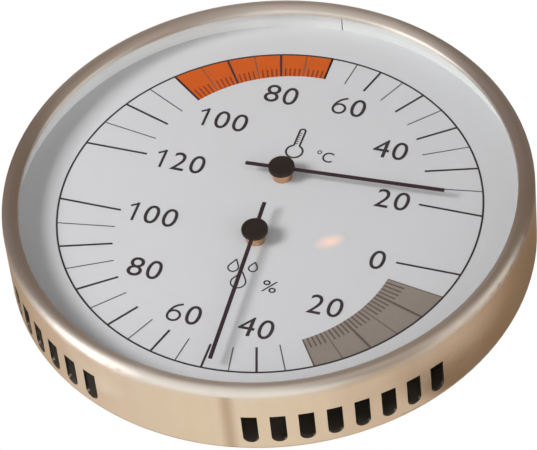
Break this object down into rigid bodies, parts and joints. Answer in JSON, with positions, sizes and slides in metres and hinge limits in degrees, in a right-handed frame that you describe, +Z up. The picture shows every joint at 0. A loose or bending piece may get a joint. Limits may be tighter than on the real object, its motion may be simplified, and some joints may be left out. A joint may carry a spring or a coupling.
{
  "type": "sauna thermo-hygrometer",
  "caption": "Round metal-cased wall instrument with one dial and two hands, for temperature and humidity, with vent slots and a rear keyhole.",
  "frame": {"origin": "centre of the rear face of the case, on the wall", "axes": "+Z up the wall, -Y out of the wall towards the reader, +X to the reader's right"},
  "size_m": [0.13, 0.0218, 0.13],
  "materials": {
    "case_metal": "satin, spun, with a warm champagne tone",
    "pane": "clear flat pane",
    "spacer_white": "matte white strip",
    "dial_white": "matte white enamel with printed scales",
    "plate_metal": "plain rolled sheet",
    "pillar_metal": "turned from hexagonal bar",
    "screw_steel": "zinc plated",
    "bridge_steel": "plain pressed sheet",
    "rivet_metal": "plain",
    "bush_brass": "turned, coppery",
    "washer_steel": "spring steel",
    "lever_brass": "pressed sheet",
    "temperature_strip": "bimetal strip",
    "humidity_strip": "metal strip with a moisture-sensitive coat",
    "arbor_steel": "ground rod",
    "hand_black": "matte black paint",
    "cap_black": "moulded, matte black"
  },
  "bodies": {
    "case": {"case_shell": "case_metal", "front_glass": "pane", "spacer_ring": "spacer_white", "dial_face": "dial_white", "movement_plate": "plate_metal", "pillar_right": "pillar_metal", "pillar_left": "pillar_metal", "pillar_bottom": "pillar_metal", "case_screws": "screw_steel", "temperature_bridge": "bridge_steel", "temperature_bridge_rivets": "rivet_metal", "temperature_front_bush": "bush_brass", "temperature_rear_bush": "bush_brass", "temperature_friction_washer": "washer_steel", "humidity_bridge": "bridge_steel", "humidity_bridge_rivets": "rivet_metal", "humidity_front_bush": "bush_brass", "humidity_rear_bush": "bush_brass", "humidity_friction_washer": "washer_steel"},
    "temperature_adjuster": {"temperature_adjuster": "lever_brass", "temperature_coil": "temperature_strip"},
    "temperature_pointer": {"temperature_arbor": "arbor_steel", "temperature_coil_collet": "bush_brass", "temperature_hand_collet": "bush_brass", "temperature_hand": "hand_black", "temperature_hub_cap": "cap_black"},
    "humidity_adjuster": {"humidity_adjuster": "lever_brass", "humidity_coil": "humidity_strip"},
    "humidity_pointer": {"humidity_arbor": "arbor_steel", "humidity_coil_collet": "bush_brass", "humidity_hand_collet": "bush_brass", "humidity_hand": "hand_black", "humidity_hub_cap": "cap_black"}
  },
  "joints": [
    {"name": "temperature_trim", "type": "hinge", "parent": "case", "child": "temperature_adjuster", "pos_m": [0, 0, 0.0106], "axis": [0, -1, 0], "range_deg": [-12, 12]},
    {"name": "temperature_reading", "type": "hinge", "parent": "temperature_adjuster", "child": "temperature_pointer", "pos_m": [0, 0, 0.0106], "axis": [0, -1, 0], "range_deg": [-3.3, 176.7], "stiffness_Nm_per_rad": 0.002, "deforming": ["temperature_coil"]},
    {"name": "humidity_trim", "type": "hinge", "parent": "case", "child": "humidity_adjuster", "pos_m": [0, 0, -0.0106], "axis": [0, 1, 0], "range_deg": [-12, 12]},
    {"name": "humidity_reading", "type": "hinge", "parent": "humidity_adjuster", "child": "humidity_pointer", "pos_m": [0, 0, -0.0106], "axis": [0, 1, 0], "range_deg": [-86.7, 93.3], "stiffness_Nm_per_rad": 0.002, "deforming": ["humidity_coil"]}
  ]
}
